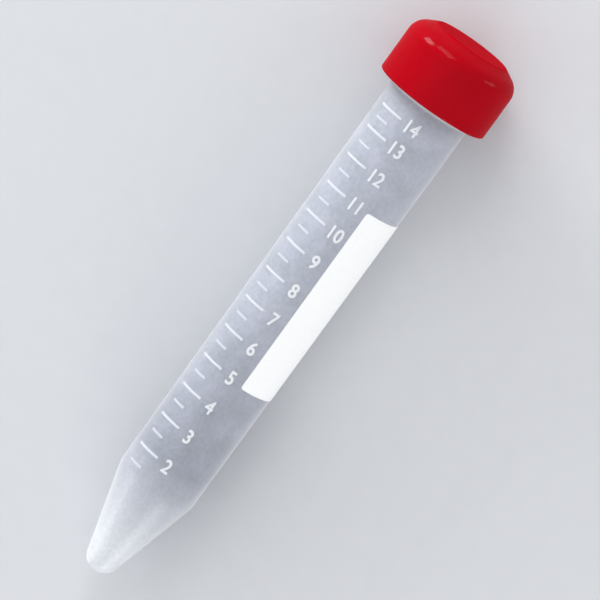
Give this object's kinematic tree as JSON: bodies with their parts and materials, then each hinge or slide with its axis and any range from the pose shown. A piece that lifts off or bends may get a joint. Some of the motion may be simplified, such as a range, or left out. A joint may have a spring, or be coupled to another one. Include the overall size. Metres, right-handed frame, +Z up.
{
  "type": "15 ml conical tube",
  "caption": "Conical-bottomed plastic tube lying on its side, with volume marks, a write-on patch and a threaded cap that screws off.",
  "frame": {"origin": "on the ground, below the middle of the tube's length as it lies on its side", "axes": "+X along the ground from the tip towards the cap, +Y to the left of the print and +Z up, out of the printed front"},
  "size_m": [0.1186, 0.0224, 0.0226],
  "materials": {
    "frosted_polypropylene": "translucent, faintly frosted moulded polypropylene",
    "red_moulded_cap": "glossy opaque red moulding",
    "seal_disc": "soft off-white polyethylene disc",
    "white_ink": "flat white printing ink"
  },
  "bodies": {
    "tube": {"tube": "frosted_polypropylene", "graduation_marks": "white_ink", "write_on_patch": "white_ink"},
    "liner": {"cap_liner": "seal_disc"},
    "cap": {"screw_cap": "red_moulded_cap"}
  },
  "joints": [
    {"name": "cap_lift", "type": "slide", "parent": "tube", "child": "liner", "axis": [0.9992, 0, 0.0391], "range_m": [0, 0.015]},
    {"name": "cap_turn", "type": "hinge", "parent": "liner", "child": "cap", "pos_m": [0.05269, 0, 0.0114], "axis": [0.9992, 0, 0.0391], "range_deg": [0, 1800]}
  ],
  "couplings": [
    {"joint": "cap_lift", "follows": "cap_turn", "m_per_rad": 0.00047746}
  ]
}
